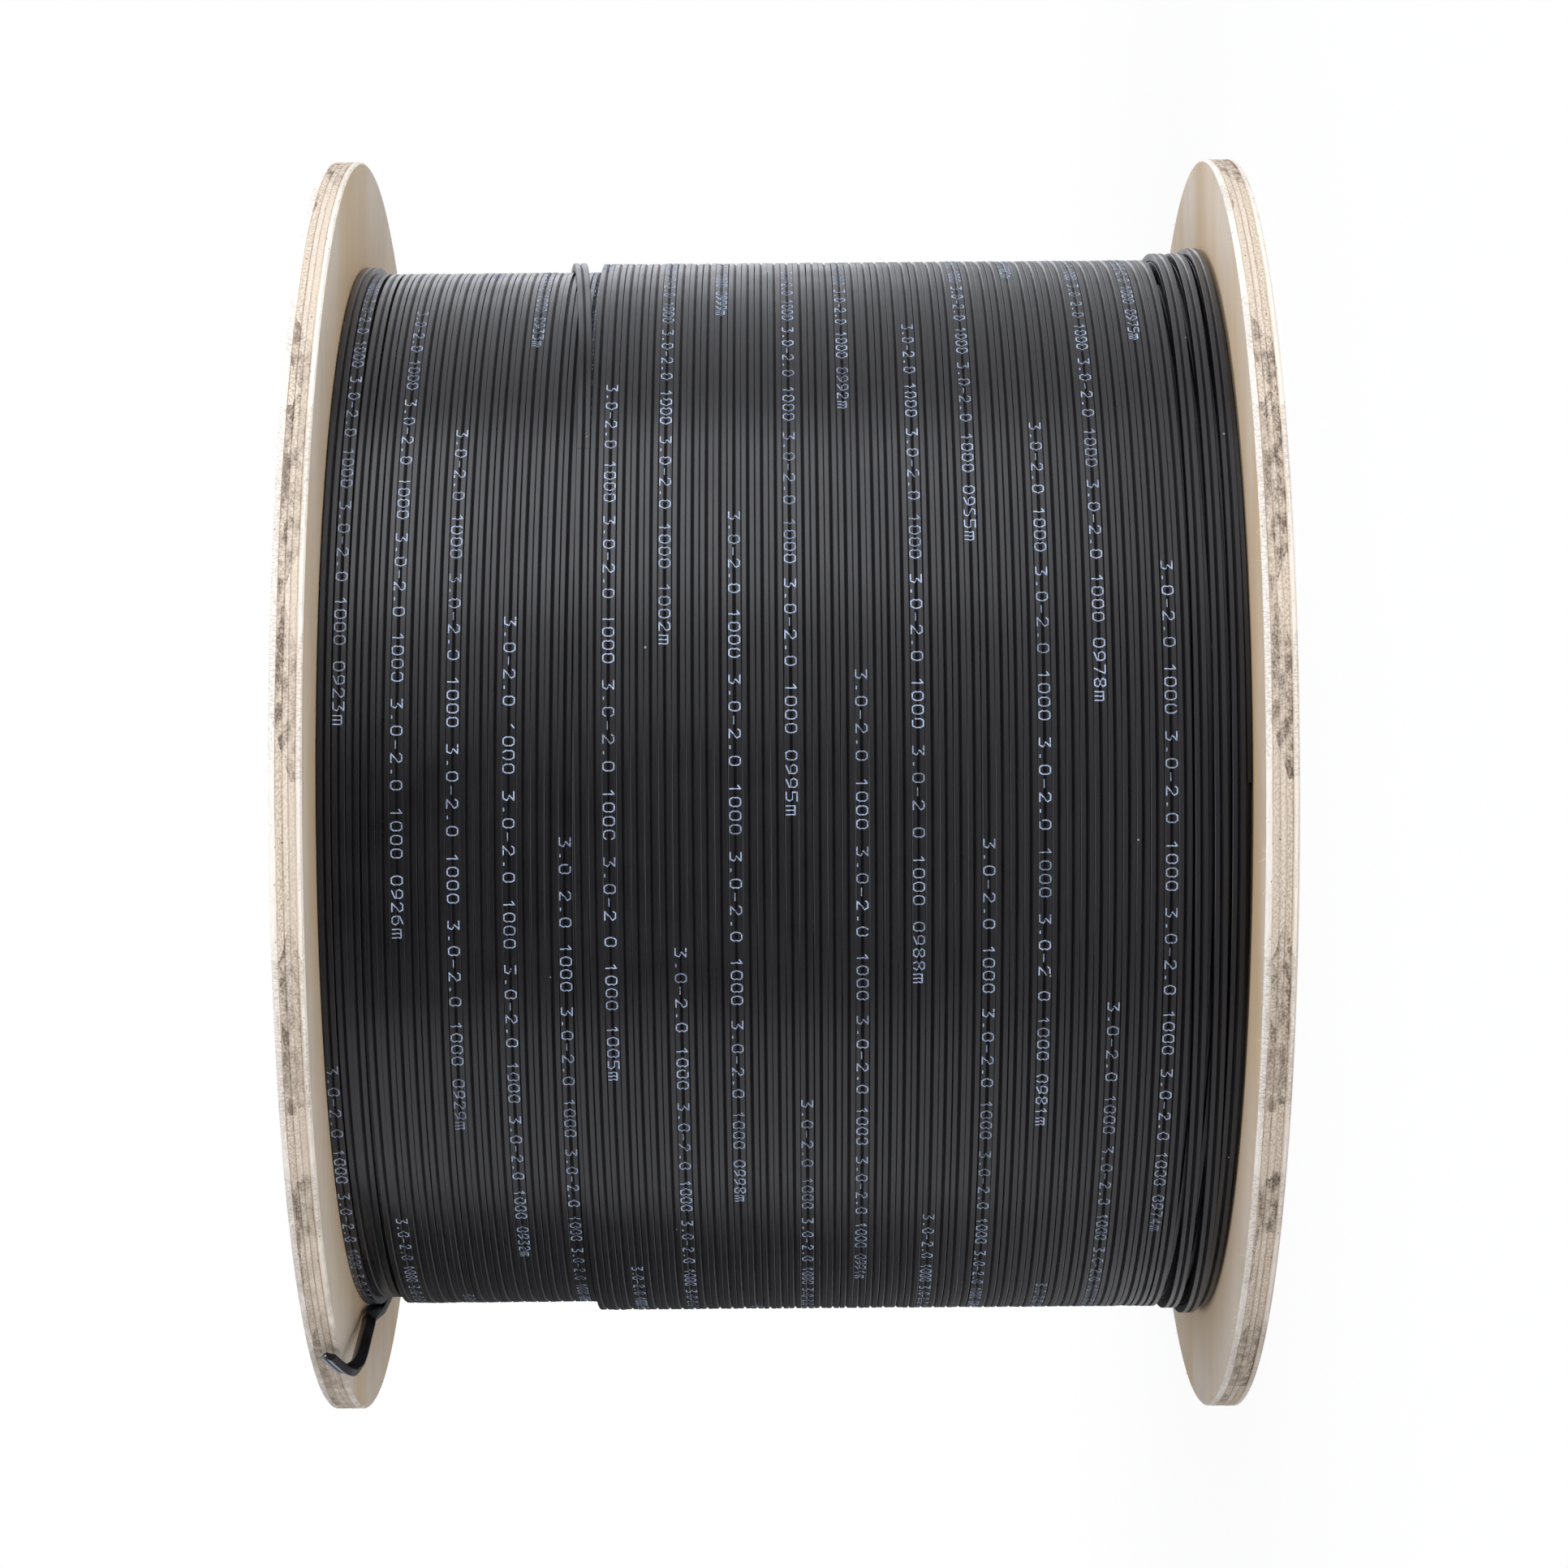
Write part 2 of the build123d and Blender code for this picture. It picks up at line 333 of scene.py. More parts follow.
def plywood_rim(base_height, name, first_dirt, second_dirt, low_dirt):
    """The sawn edge of five plies: pale face veneers, and cross plies with dark, smeared grain."""
    made, tree, shader, place = new_material(name)
    axes = split_axes(tree, place)
    # a place on the rim: along it in metres, with the seam at the back, and across it in metres
    turn = maths(tree, "ARCTAN2", axes["X"], maths(tree, "MULTIPLY", axes["Y"], -1.0))
    along = maths(tree, "MULTIPLY", turn, FLANGE_RADIUS * MM)
    across = maths(tree, "SUBTRACT", axes["Z"], base_height * MM)
    rim = add_node(tree, "ShaderNodeCombineXYZ", {"X": along, "Y": across}).outputs[0]

    def rim_noise(per_metre_along, per_metre_across, detail, shift=0.0):
        scale = (per_metre_along, per_metre_across, 1.0)
        return noise(tree, stretched(tree, rim, scale, shift), 1.0, detail)

    def stepped(value, low, high, most=1.0):
        return ramp(tree, value, low, high, 0.0, most)

    def product(first, second):
        return maths(tree, "MULTIPLY", first, second)

    # the glue lines wander by 0.2 mm
    wander = rim_noise(45, 60, 3.0)
    share = ramp(tree, across, 0.0, FLANGE_THICKNESS * MM)
    shifted = maths(tree, "MULTIPLY_ADD", wander, 0.09, share)
    plies = banded(tree, shifted, PLY_TONES)
    # the cross plies take the saw's dirt: a mask for each of the two
    between = (first_dirt + second_dirt) * 0.36
    mask_stops = [(0.0, 0.02), (0.215, 0.05), (0.25, first_dirt), (0.42, first_dirt)]
    mask_stops += [(0.455, between), (0.6, between), (0.635, second_dirt), (0.81, second_dirt)]
    mask_stops += [(0.85, 0.06), (1.0, 0.03)]
    cross = banded(tree, shifted, mask_stops)
    # blocks of end grain 8 to 30 mm long with sharp ends, most of them across both cross plies
    cells = stretched(tree, rim, (58.0, 190.0, 1.0))
    inputs = {"Vector": cells, "Scale": 1.0, "Randomness": 0.85}
    settings = {"voronoi_dimensions": "2D", "distance": "CHEBYCHEV"}
    blocks = add_node(tree, "ShaderNodeTexVoronoi", inputs, **settings).outputs["Color"]
    block_tone = add_node(tree, "ShaderNodeSeparateColor", {"Color": blocks}).outputs[0]
    block = stepped(block_tone, 0.42, 0.5)
    fibres = rim_noise(220, 4200, 3.0)
    cross_cuts = rim_noise(2600, 900, 2.0, 3.0)
    smear = rim_noise(260, 520, 6.0, 7.0)
    granular = stepped(rim_noise(1500, 2100, 4.0, 23.0), 0.46, 0.55)
    dark = product(product(cross, block), stepped(smear, 0.4, 0.62))
    # general grey dirt in patches, and more dirt towards the side that the reel rolls on
    patch = stepped(rim_noise(38, 140, 5.0, 11.0), 0.47, 0.68, 0.45)
    low_side = stepped(axes["X"], -0.05, -0.13, low_dirt)
    low_patch = stepped(rim_noise(150, 300, 5.0, 5.0), 0.36, 0.56)
    # dark pits about 1 mm across
    pits = stepped(rim_noise(900, 1100, 1.0, 17.0), 0.72, 0.78, 0.9)
    tone = plies
    for share, above in (
        (stepped(fibres, 0.45, 0.75, 0.3), "b8a48d"),
        (product(stepped(cross, 0.0, 1.0, 0.6), granular), "a18d78"),
        (stepped(dark, 0.0, 1.0, 0.9), "7d6e5e"),
        (stepped(product(dark, granular), 0.1, 0.7, 0.9), "50463c"),
        (stepped(product(cross_cuts, block), 0.42, 0.62, 0.4), "8e7c69"),
        (product(patch, granular), "9d8d7c"),
        (product(low_side, low_patch), "978878"),
        (pits, "453a30"),
    ):
        tone = blend(tree, share, tone, above)
    looks = {
        "Base Color": tone,
        "Roughness": 0.75,
        "Normal": bumped(tree, maths(tree, "MULTIPLY_ADD", fibres, 0.6, smear), 0.5, 0.0003),
    }
    feed(tree, shader, looks)
    return made


def kraft_cardboard():
    """Spiral-wound kraft tube: brown, matt and fibrous, with a seam line every 60 mm."""
    made, tree, shader, place = new_material("spiral-wound kraft board")
    fibres = noise(tree, place, 900.0, 5.0)
    base = blend(tree, noise(tree, place, 45.0, 3.0), "9c7b56", "b8966e")
    flecked = blend(tree, ramp(tree, fibres, 0.45, 0.8, 0.0, 0.5), base, "7d6144")
    # the seam climbs once round the tube every 60 mm
    axes = split_axes(tree, place)
    turn = maths(tree, "ARCTAN2", axes["X"], axes["Y"])
    part_turn = maths(tree, "MULTIPLY", turn, 1 / math.tau)
    rise = maths(tree, "MULTIPLY_ADD", axes["Z"], 1 / 0.06, part_turn)
    seam = maths(tree, "LESS_THAN", maths(tree, "FRACT", rise), 0.012)
    looks = {
        "Base Color": blend(tree, seam, flecked, "5f4932"),
        "Roughness": 0.85,
        "Normal": bumped(tree, fibres, 0.3, 0.0002),
    }
    feed(tree, shader, looks)
    return made


def zinc_steel():
    """Zinc-plated steel: bright grey with a faint blue cast, slightly cloudy, duller in patches."""
    made, tree, shader, place = new_material("zinc-plated steel")
    cloud = noise(tree, place, 260.0, 4.0)
    looks = {
        "Base Color": blend(tree, cloud, "a9adb2", "cdd2d6"),
        "Roughness": ramp(tree, cloud, 0.3, 0.7, 0.26, 0.46),
        "Metallic": 1.0,
    }
    feed(tree, shader, looks)
    return made


def core_fibre():
    """The white strength member in the cable's cut face."""
    made, tree, shader, place = new_material("white glass-fibre rod")
    tone = blend(tree, noise(tree, place, 5000.0, 2.0), "c9c8c0", "efeee8")
    feed(tree, shader, {"Base Color": tone, "Roughness": 0.5})
    return made


# -------- the cable


# The cable's outer face from its middle to its side, as (across, height over the ridges): the
# notch down the middle, the flat ridge and the rounded shoulder.
OUTER_FACE = [
    (0.0, -NOTCH_DEPTH),
    (NOTCH_HALF_WIDTH - 0.08, -0.07),
    (NOTCH_HALF_WIDTH, 0.0),
    (CABLE_WIDTH / 2 - 0.17, 0.0),
    (CABLE_WIDTH / 2 - 0.05, -0.06),
    (CABLE_WIDTH / 2, -0.2),
]
INNER_SHOULDER = (0.26, 0.30)  # the bevel at the inner face: across and up


def cable_outline():
    """The cable's section as (across, outward) points in millimetres."""
    top, half = CABLE_THICKNESS / 2, CABLE_WIDTH / 2
    side = [(across, top + height) for across, height in OUTER_FACE[1:]]
    side += [(half, -top + INNER_SHOULDER[1]), (half - INNER_SHOULDER[0], -top)]
    return [(0.0, top - NOTCH_DEPTH)] + side + [(-x, y) for x, y in reversed(side)]


def new_tree(name, output, inputs):
    """A geometry tree with its named inputs, and what they give."""
    tree = bpy.data.node_groups.new(name, "GeometryNodeTree")
    for label, kind in inputs.items():
        tree.interface.new_socket(label, in_out="INPUT", socket_type=f"NodeSocket{kind}")
    tree.interface.new_socket(output, in_out="OUTPUT", socket_type="NodeSocketGeometry")
    return tree, add_node(tree, "NodeGroupInput").outputs


def end_tree(tree, geometry, material):
    """The tree's last nodes: instances are made real and take their material."""
    real = add_node(tree, "GeometryNodeRealizeInstances", {"Geometry": geometry}).outputs[0]
    inputs = {"Geometry": real, "Material": material}
    finished = add_node(tree, "GeometryNodeSetMaterial", inputs).outputs[0]
    add_node(tree, "NodeGroupOutput", {0: finished})
    return tree


def strand_tree():
    """A tree that carries the cable's section along a path, facing each point's "outward"."""
    inputs = {"Path": "Geometry", "Section": "Object", "Section Scale": "Float"}
    inputs["Jacket"] = "Material"
    tree, given = new_tree("cable along a path", "Cable", inputs)
    path = add_node(tree, "GeometryNodeMeshToCurve", {"Mesh": given["Path"]}).outputs[0]
    outward = add_node(
        tree, "GeometryNodeInputNamedAttribute", {0: "outward"}, data_type="FLOAT_VECTOR"
    )
    inputs = {"Curve": path, "Normal": outward.outputs["Attribute"]}
    facing = add_node(tree, "GeometryNodeSetCurveNormal", inputs, mode="FREE").outputs[0]
    section = add_node(tree, "GeometryNodeObjectInfo", {"Object": given["Section"]})
    outline = add_node(tree, "GeometryNodeMeshToCurve", {"Mesh": section.outputs["Geometry"]})
    inputs = {
        "Curve": facing,
        "Profile Curve": outline.outputs[0],
        "Scale": given["Section Scale"],
        "Fill Caps": True,
    }
    swept = add_node(tree, "GeometryNodeCurveToMesh", inputs).outputs[0]
    return end_tree(tree, swept, given["Jacket"])


def run_tree(host, tree, values, name):
    """Runs a tree on an object and keeps its result as a plain mesh in a new object."""
    modifier = host.modifiers.new("shape", "NODES")
    modifier.node_group = tree
    for socket in tree.interface.items_tree:
        if socket.in_out == "INPUT" and socket.name in values:
            modifier[socket.identifier] = values[socket.name]
    mesh = evaluated_mesh(host)
    host.modifiers.remove(modifier)
    bpy.data.objects.remove(host)
    mesh.name = name
    return new_object(name, mesh)


def soften(piece, degrees=24):
    """Smooth shading, with edges sharper than an angle kept crisp."""
    piece.data.polygons.foreach_set("use_smooth", [True] * len(piece.data.polygons))
    piece.data.set_sharp_from_angle(angle=math.radians(degrees))


def wavering(turns, per_turn, size, rng):
    """A smooth random offset along the turns, different from one turn to the next."""
    places = turns * per_turn
    first = np.floor(places).astype(int)
    share = places - first
    share = share * share * (3 - 2 * share)
    first -= first.min()
    levels = rng.uniform(-size, size, first.max() + 2)
    return levels[first] * (1 - share) + levels[first + 1] * share


def through(keys, column, angles):
    """A smooth curve through one column of keys whose first column is the angle."""
    at = np.array([key[0] for key in keys], float)
    value = np.array([key[column] for key in keys], float)
    slope = np.gradient(value, at)
    index = np.clip(np.searchsorted(at, angles, side="right") - 1, 0, len(at) - 2)
    span = at[index + 1] - at[index]
    t = np.clip((angles - at[index]) / span, 0, 1)
    return (
        (2 * t**3 - 3 * t**2 + 1) * value[index]
        + (t**3 - 2 * t**2 + t) * span * slope[index]
        + (-2 * t**3 + 3 * t**2) * value[index + 1]
        + (t**3 - t**2) * span * slope[index + 1]
    )


# Turns given one by one: (angle, height, radius) keys. 0 is the photograph's top, 90 the back, 180
# its bottom and 270 its front. The top layer starts against the lower flange and piles up there.
TOP_START_KEYS = [
    (-90, 8.6, 124.3), (0, 8.7, 124.6), (90, 8.8, 125.0), (180, 8.8, 125.4), (270, 10.1, 126.3),
    (360, 9.6, 128.0), (450, 10.6, 127.9), (540, 11.0, 127.0), (630, 13.9, 126.0),
    (720, 13.3, 126.8), (810, 14.4, 126.4), (900, 15.3, 125.8), (990, 18.0, 125.4),
    (1080, 17.7, 126.8), (1170, 19.6, 125.9), (1260, 20.4, 125.3),
]
TOP_FIRST_REGULAR = 1350
TOP_LAST_ANGLE = 46 * 360 + 306  # where the last turn lifts off towards the upper flange
TOP_LAST_HEIGHT = 150.7
TOP_BARE_TURNS = 3.6  # the piled turns at the start carry no print
LOWER_START_KEYS = [
    (-200, 205.4, 123.3), (-90, 205.3, 123.8), (0, 204.95, 124.8), (90, 203.9, 124.0),
    (180, 202.5, 121.7), (270, 202.2, 123.4), (360, 202.0, 123.4), (450, 201.2, 123.3),
    (540, 200.1, 121.8), (630, 199.2, 123.2), (720, 198.4, 123.2), (810, 197.2, 123.2),
    (900, 195.9, 123.2),
]
LOWER_FIRST_REGULAR = 990
LOWER_FIRST_HEIGHT = 195.8
LOWER_TURNS = 18.0
# strands of the layers below that show in the gaps beside the lower flange
DEEP_KEYS = [
    (-100, 9.4, 122.6), (0, 12.2, 123.0), (90, 13.5, 123.1), (180, 15.2, 123.0),
    (270, 12.8, 122.9), (360, 15.4, 123.0), (450, 17.4, 123.1), (540, 18.4, 123.1),
    (630, 16.6, 122.9), (700, 18.4, 122.5),
]
DEEP_POINTS = 250
SUPPORT_DEPTH = 1.96  # the strand that carries the piled turns lies this far under them
LOOSE_SPAN = 400  # this many degrees past the first regular angle still follow the keys



LAYERS = {
    "top": {
        "keys": TOP_START_KEYS,
        "first_regular": TOP_FIRST_REGULAR,
        "anchor": (TOP_LAST_ANGLE, TOP_LAST_HEIGHT),  # an angle and its height
        "rise": TURN_PITCH,
        "centre": TOP_LAYER_CENTRE,
        "last": TOP_LAST_ANGLE,
        "seed": 11,
        "known_mark": (-92.4, 104.8, 995),  # a mark's angle, height and metre number
        "bare": TOP_BARE_TURNS * math.tau * TOP_LAYER_CENTRE,
    },
    "lower": {
        "keys": LOWER_START_KEYS,
        "first_regular": LOWER_FIRST_REGULAR,
        "anchor": (LOWER_FIRST_REGULAR, LOWER_FIRST_HEIGHT),
        "rise": -TURN_PITCH,
        "centre": LOWER_LAYER_CENTRE,
        "last": LOWER_FIRST_REGULAR + LOWER_TURNS * 360,
        "seed": 12,
        "known_mark": (-104.3, 190.7, 926),
        "bare": 0.0,
    },
}


def layer_path(layer, last):
    """The turns given one by one and then the regular ones: their angles, heights and radii."""
    rng = np.random.default_rng(layer["seed"])
    regular, centre = layer["first_regular"], layer["centre"]
    anchor_angle, anchor_height = layer["anchor"]

    def height(angle):
        return anchor_height + (angle - anchor_angle) / 360 * layer["rise"]

    first = layer["keys"][0][0]
    count = int(round((last - first) / 360 * STEPS_PER_TURN))
    angles = np.linspace(first, last, count + 1)
    keys = layer["keys"] + [
        (angle, height(angle), centre) for angle in range(regular, regular + 720, 90)
    ]
    loose = angles < regular + LOOSE_SPAN
    heights = np.where(loose, through(keys, 1, angles), height(angles))
    radii = np.where(loose, through(keys, 2, angles), centre)
    # the regular turns waver by a few hundredths of a millimetre
    turns = angles / 360
    calm = np.clip((angles - regular) / 360, 0, 1)
    heights = heights + calm * wavering(turns, 2.6, 0.07, rng)
    radii = radii + calm * wavering(turns, 3.1, 0.06, rng)
    return angles, heights, radii


def wound_path(angles, heights, radii):
    """Points in metres and outward directions for a cable wound round the reel's axis."""
    turn = np.radians(angles)
    outward = np.stack([np.cos(turn), np.sin(turn), np.zeros_like(turn)], axis=1)
    points = outward * radii[:, None] * MM
    points[:, 0] -= (heights - FLANGE_THICKNESS) * WINDING_DRIFT * MM
    points[:, 2] = heights * MM
    return points, outward


def travelled(points):
    """How far along a path each of its points is."""
    steps = np.linalg.norm(np.diff(points, axis=0), axis=1)
    return np.concatenate([[0.0], np.cumsum(steps)])


def path_object(points, outward):
    made = mesh_object("path", points, [(i, i + 1) for i in range(len(points) - 1)])
    facing = made.data.attributes.new("outward", "FLOAT_VECTOR", "POINT")
    facing.data.foreach_set("vector", np.asarray(outward, np.float32).ravel())
    return made


def section_object():
    outline = cable_outline()
    edges = [(i, (i + 1) % len(outline)) for i in range(len(outline))]
    return mesh_object("section", [(y * MM, x * MM, 0) for x, y in outline], edges)


# -------- the free end

# The route of the cable's end: it leaves the top layer, crosses the back and hooks over the rim.
END_ROUTE = [
    (0.07298, -0.10129, 0.15070), (0.08997, -0.08894, 0.15090), (0.10429, -0.07210, 0.15150),
    (0.12234, -0.03295, 0.15400), (0.12627, 0.00999, 0.15740), (0.11563, 0.05178, 0.16150),
    (0.09166, 0.08763, 0.16670), (0.05708, 0.11342, 0.17320), (0.01588, 0.12621, 0.18025),
    (-0.02724, 0.12452, 0.18736), (-0.06734, 0.10860, 0.19600), (-0.10003, 0.08034, 0.20260),
    (-0.12121, 0.04263, 0.20520), (-0.12700, 0.00000, 0.20535), (-0.12600, -0.01600, 0.20515),
    (-0.12560, -0.03050, 0.20510), (-0.12560, -0.03300, 0.20505), (-0.12680, -0.03600, 0.20500),
    (-0.12740, -0.04500, 0.20460), (-0.12860, -0.05800, 0.20400), (-0.12990, -0.06950, 0.20360),
    (-0.13100, -0.07560, 0.20390), (-0.13130, -0.07930, 0.20520), (-0.13000, -0.08120, 0.20720),
    (-0.12750, -0.08350, 0.20910),
]
WOUND_POINTS = 14  # how many of them lie on the winding, facing outwards
# which way the cable's outer face looks at the other points: down, and towards the flange
END_FACINGS = [
    (-0.88, 0.0, 0.47), (-0.77, 0.0, 0.64), (-0.77, 0.1, 0.64), (-0.77, 0.2, 0.62),
    (-0.78, 0.1, 0.62), (-0.78, 0.05, 0.60), (-0.80, -0.05, 0.58), (-0.80, -0.20, 0.56),
    (-0.74, -0.45, 0.50), (-0.65, -0.62, 0.45), (-0.575, -0.65, 0.50),
]
CUT_FACING = (0.80, -0.58, 0.15)  # the snips cut across it at a slant
# the painted highlight on the ridges beside the cut: how far back it reaches in mm, and its
# strongest share
PAINTED_HIGHLIGHT_LENGTH = 9.0
PAINTED_HIGHLIGHT_MOST = 0.85
PAINTED_HIGHLIGHT_PLATEAU = 1.3  # the painted highlight's strength that it would reach at the tip, if the cap above didn't hold it
CORE_PLACE = -0.75  # across the cable, in one lobe
CORE_PROFILE = ((-0.6, 0.17), (0.08, 0.17), (0.12, 0.12))  # (along, radius)
CORE_STEPS = 16


def end_centreline():
    """The smooth line of the cable's end, read from the route's spline."""
    data = bpy.data.curves.new("end route", "CURVE")
    data.dimensions = "3D"
    spline = data.splines.new("NURBS")
    spline.points.add(len(END_ROUTE) - 1)
    for point, place in zip(spline.points, END_ROUTE):
        point.co = (*place, 1.0)
    spline.order_u = 3
    spline.use_endpoint_u = True
    spline.resolution_u = 16
    route = new_object("end route", data)
    mesh = evaluated_mesh(route)
    points = np.array([v.co for v in mesh.vertices], float)
    bpy.data.objects.remove(route)
    bpy.data.meshes.remove(mesh)
    return points


def end_facings(count):
    """The outer face's direction at each point of the smooth line."""
    facings = [Vector((x, y, 0)).normalized() for x, y, _ in END_ROUTE[:WOUND_POINTS]]
    facings += [Vector(face).normalized() for face in END_FACINGS]
    last = len(END_ROUTE) - 2
    knots = [0.0] + [i - 0.5 for i in range(1, last + 1)] + [float(last)]
    at = np.linspace(0, last, count)
    return interpolated(at, knots, facings)


def make_cable_end(fibre, tree, values):
    """The last half turn and the hooked end, one lobe's core, the centreline and its length."""
    points = end_centreline()
    outward = end_facings(len(points))
    tangent = np.gradient(points, axis=0)
    tangent /= np.linalg.norm(tangent, axis=1)[:, None]
    outward -= tangent * np.sum(outward * tangent, axis=1)[:, None]
    outward /= np.linalg.norm(outward, axis=1)[:, None]
    piece = run_tree(path_object(points, outward), tree, values, "cable_free_end")
    finish_cut(piece, points, tangent)
    soften(piece)
    core = cut_face(points[-1], tangent[-1], outward[-1], fibre)
    return piece, core, points, float(travelled(points)[-1])


def slant(offset, along):
    """How far along the cable the slanting cut is, at an offset from its centreline."""
    facing = np.array(CUT_FACING) / np.linalg.norm(CUT_FACING)
    return -float(np.dot(offset, facing)) / float(np.dot(along, facing))


def finish_cut(piece, points, tangent):
    """Cuts the end at a slant, and marks the ridges beside it that get a painted highlight."""
    verts = piece.data.vertices
    centre, along = Vector(points[-1]), Vector(tangent[-1])
    for vert in verts:
        offset = vert.co - centre
        if abs(offset.dot(along)) < 0.02 * MM and offset.length < CABLE_WIDTH * MM:
            vert.co += along * slant(np.array(offset), tangent[-1])
    per_ring = len(cable_outline())
    ridges = (2, 3, per_ring - 3, per_ring - 2)
    travel = travelled(points)
    left = (travel[-1] - travel) / MM
    levels = np.zeros(len(verts), np.float32)
    for ring in range(len(points)):
        level = min(max(PAINTED_HIGHLIGHT_PLATEAU - left[ring] / PAINTED_HIGHLIGHT_LENGTH, 0.0), PAINTED_HIGHLIGHT_MOST)
        for ridge in ridges:
            levels[ring * per_ring + ridge] = level
    piece.data.attributes.new("rubbed", "FLOAT", "POINT").data.foreach_set("value", levels)


def cut_face(centre, along, outward, fibre):
    """One lobe's white strength member, which the cut leaves a little proud of the jacket."""
    across = np.cross(along, outward)
    offset = across * CORE_PLACE * MM
    middle = np.array(centre) + offset + along * slant(offset, along)
    verts = []
    for level, size in CORE_PROFILE:
        for step in range(CORE_STEPS):
            turn = step / CORE_STEPS * math.tau
            ring = across * math.cos(turn) + outward * math.sin(turn)
            verts.append(middle + (along * level + ring * size) * MM)
    faces = ring_faces(len(CORE_PROFILE), CORE_STEPS, capped=True)
    return mesh_object("cable_core_rod", verts, faces=faces, materials=[fibre])


# -------- print

CHAR_PITCH = 2.9
CHAR_LENGTH = 1.85
CHAR_HEIGHT = 2.3
STROKE_WIDTH = 0.26
STROKE_OVERLAP = 0.7  # of half a stroke's width, past each end
SHORTEST_STROKE = 0.08  # across the cable
DROPPED_STROKES = 0.012  # the share that the printer missed
PRINT_MARGIN = 1.0  # no stroke is nearer to a strand's ends
INK_LIFT = 0.025  # above the jacket
INK_KEEL = 0.12  # a stroke's keel reaches this far into the jacket
# across the cable: each ridge and each side of the notch, whose very bottom the ink misses
INK_ZONES = (
    (-2.0, -NOTCH_HALF_WIDTH),
    (-NOTCH_HALF_WIDTH, -0.1),
    (0.1, NOTCH_HALF_WIDTH),
    (NOTCH_HALF_WIDTH, 2.0),
)
LEGEND = "3.0-2.0 1000 " * 4  # plain sizes
# Each character's pen strokes, from (0, 0) at its lower left to (1, 1) at its upper right.
CHARACTERS = {
    "0": [
        [(0.2, 0), (0, 0.25), (0, 0.75), (0.2, 1), (0.8, 1)]
        + [(1, 0.75), (1, 0.25), (0.8, 0), (0.2, 0)]
    ],
    "1": [[(0.15, 0.75), (0.55, 1), (0.55, 0)]],
    "2": [[(0, 0.8), (0.2, 1), (0.8, 1), (1, 0.7), (0, 0), (1, 0)]],
    "3": [[(0, 1), (1, 1), (0.45, 0.6), (1, 0.35), (0.8, 0), (0, 0)]],
    "4": [[(0.75, 0), (0.75, 1), (0, 0.3), (1, 0.3)]],
    "5": [[(1, 1), (0, 1), (0, 0.6), (0.8, 0.6), (1, 0.3), (0.8, 0), (0, 0)]],
    "6": [[(0.9, 1), (0, 0.7), (0, 0.2), (0.2, 0), (0.8, 0), (1, 0.3), (0.8, 0.6), (0, 0.6)]],
    "7": [[(0, 1), (1, 1), (0.4, 0)]],
    "8": [
        [(0, 0.75), (0.2, 1), (0.8, 1), (1, 0.75), (0, 0.3)]
        + [(0.2, 0), (0.8, 0), (1, 0.3), (0, 0.75)]
    ],
    "9": [[(0.1, 0), (1, 0.3), (1, 0.8), (0.8, 1), (0.2, 1), (0, 0.7), (0.2, 0.4), (1, 0.4)]],
    "-": [[(0.05, 0.38), (0.95, 0.38)]],
    ".": [[(0.35, 0.05), (0.65, 0.05)]],
    "m": [[(0, 0), (0, 0.8), (1, 0.8), (1, 0)], [(0.5, 0), (0.5, 0.8)]],
    " ": [],
}


def jacket_height(across):
    """How high the cable's outer face is above its centreline, at a place across it."""
    places, heights = zip(*OUTER_FACE)
    return CABLE_THICKNESS / 2 + float(np.interp(abs(across), places, heights))


def cut_stroke(first, second):
    """A stroke between two (along, across) ends, cut where it crosses the ridges and the notch."""
    (s0, w0), (s1, w1) = sorted((first, second), key=lambda place: place[1])
    parts = []
    for low, high in INK_ZONES:
        a, b = max(w0, low), min(w1, high)
        if w1 - w0 < 0.01:
            if low <= w0 <= high:
                parts.append((s0, w0, s1, w1))
        elif b - a >= SHORTEST_STROKE:
            slope = (s1 - s0) / (w1 - w0)
            parts.append((s0 + slope * (a - w0), a, s0 + slope * (b - w0), b))
    return parts


def mark_strokes(text, end, rng):
    """The strokes of one mark, which ends at a place along the cable."""
    strokes = []
    for place, character in enumerate(text):
        start = end + (len(text) - place) * CHAR_PITCH
        for line in CHARACTERS[character]:
            ends = [(start - x * CHAR_LENGTH, (0.5 - y) * CHAR_HEIGHT) for x, y in line]
            for first, second in zip(ends, ends[1:]):
                if rng.random() >= DROPPED_STROKES:
                    strokes += cut_stroke(first, second)
    return strokes


